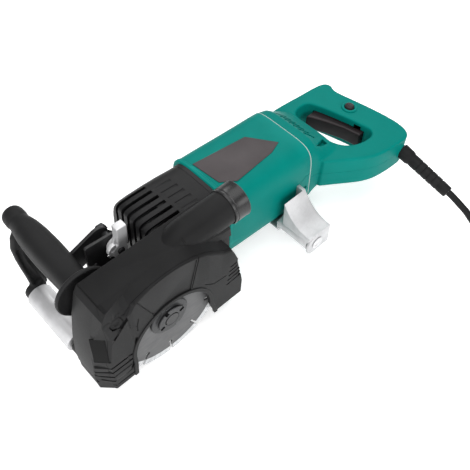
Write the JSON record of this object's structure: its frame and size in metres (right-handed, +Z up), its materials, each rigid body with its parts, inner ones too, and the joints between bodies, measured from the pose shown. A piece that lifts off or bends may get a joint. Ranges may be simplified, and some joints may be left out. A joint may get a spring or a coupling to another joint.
{
  "type": "wall chaser",
  "caption": "Corded wall chaser: guarded twin cutting discs under a dust spout, guide rollers, front side handle and a rear loop handle with trigger.",
  "frame": {"origin": "centre of the box around the tool without its cord, on the plane that the disc rims touch", "axes": "+X forward along the cut, +Y to the left, the disc side, +Z up away from the wall"},
  "size_m": [0.5945, 0.4719, 0.1746],
  "materials": {
    "guard_plastic": "fine-textured black moulding",
    "handle_plastic": "matt black moulding",
    "green_plastic": "satin green moulding",
    "trigger_plastic": "satin brown-black moulding",
    "label": "satin grey plate",
    "seam": "pale grey seal",
    "black_steel": "black coated steel",
    "steel": "machined",
    "bright_steel": "bright plated",
    "disc_steel": "ground steel",
    "aluminium": "satin turned",
    "copper": "copper and laminations",
    "carbon": "graphite",
    "cord_rubber": "black rubber"
  },
  "bodies": {
    "base": {"guard_housing": "guard_plastic", "guard_cover": "guard_plastic", "dust_port_collar": "guard_plastic", "guard_cover_bolt": "black_steel", "base_plate": "steel", "base_plate_screw_1": "steel", "base_plate_screw_2": "steel", "rear_roller_bracket": "aluminium", "pivot_pin_left": "steel", "pivot_pin_right": "steel", "rear_roller_axle": "aluminium", "front_roller_bracket": "guard_plastic", "front_roller_axle": "steel", "front_handle": "handle_plastic", "hand_guard_disc": "handle_plastic", "handle_bolt": "steel", "depth_quadrant": "black_steel"},
    "front_roller": {"front_roller": "aluminium"},
    "rear_roller": {"rear_roller": "aluminium"},
    "machine": {"gear_case": "aluminium", "gear_case_cover": "aluminium", "spindle_bearing": "steel", "vent_cover": "guard_plastic", "motor_housing": "green_plastic", "label_plate": "label", "seam_gasket": "seam", "brush_holder_left": "copper", "brush_holder_right": "copper", "carbon_brush_left": "carbon", "carbon_brush_right": "carbon", "motor_bearing_front": "steel", "motor_bearing_rear": "steel", "stator": "copper", "handle_upper_shell": "green_plastic", "handle_lower_shell": "green_plastic", "switch_module": "handle_plastic", "speed_electronics": "handle_plastic", "depth_arm": "black_steel", "clamp_bolt": "steel", "strain_relief": "cord_rubber", "power_cord": "cord_rubber", "cord_coil": "cord_rubber", "plug": "cord_rubber"},
    "spindle": {"spindle": "steel", "spindle_gear": "steel", "inner_flange": "steel", "disc_spacer": "steel", "disc_outer": "disc_steel", "disc_inner": "disc_steel", "clamp_nut": "disc_steel"},
    "countershaft": {"countershaft": "steel", "spur_pinion": "steel", "bevel_wheel": "steel"},
    "armature": {"armature_shaft": "steel", "armature_core": "steel", "commutator": "copper", "cooling_fan": "handle_plastic"},
    "trigger": {"trigger": "trigger_plastic"},
    "lock_button": {"lock_on_button": "trigger_plastic"},
    "clamp_lever": {"depth_clamp_lever": "bright_steel"}
  },
  "joints": [
    {"name": "depth_pivot", "type": "hinge", "parent": "base", "child": "machine", "pos_m": [-0.0848, 0, 0.039], "axis": [0, 1, 0], "range_deg": [-1.2, 3.75]},
    {"name": "front_roller_spin", "type": "hinge", "parent": "base", "child": "front_roller", "pos_m": [0.2272, -0.01925, 0.04], "axis": [0, 1, 0], "continuous": true},
    {"name": "rear_roller_spin", "type": "hinge", "parent": "base", "child": "rear_roller", "pos_m": [-0.0578, 0.07775, 0.04], "axis": [0, 1, 0], "continuous": true},
    {"name": "spindle_spin", "type": "hinge", "parent": "machine", "child": "spindle", "pos_m": [0.1472, 0.07725, 0.075], "axis": [0, 1, 0], "continuous": true},
    {"name": "countershaft_spin", "type": "hinge", "parent": "machine", "child": "countershaft", "pos_m": [0.10361, 0.00025, 0.09118], "axis": [0, 1, 0], "continuous": true},
    {"name": "armature_spin", "type": "hinge", "parent": "machine", "child": "armature", "pos_m": [-0.00372, 0.00025, 0.08415], "axis": [0.9979, 0, 0.0654], "continuous": true},
    {"name": "trigger_pull", "type": "slide", "parent": "machine", "child": "trigger", "axis": [-0.9782, -0.1974, -0.0641], "range_m": [0, 0.004], "stiffness_N_per_m": 1500, "springref_m": -0.002},
    {"name": "lock_button_press", "type": "slide", "parent": "machine", "child": "lock_button", "axis": [0.0654, 0, -0.9979], "range_m": [0, 0.003], "stiffness_N_per_m": 800, "springref_m": -0.001},
    {"name": "clamp_lever_turn", "type": "hinge", "parent": "machine", "child": "clamp_lever", "pos_m": [0.15239, 0.01125, 0.13346], "axis": [0, 1, 0], "range_deg": [0, 40]}
  ],
  "couplings": [
    {"joint": "countershaft_spin", "follows": "spindle_spin", "ratio": -1.3846},
    {"joint": "armature_spin", "follows": "spindle_spin", "ratio": 4.5}
  ]
}
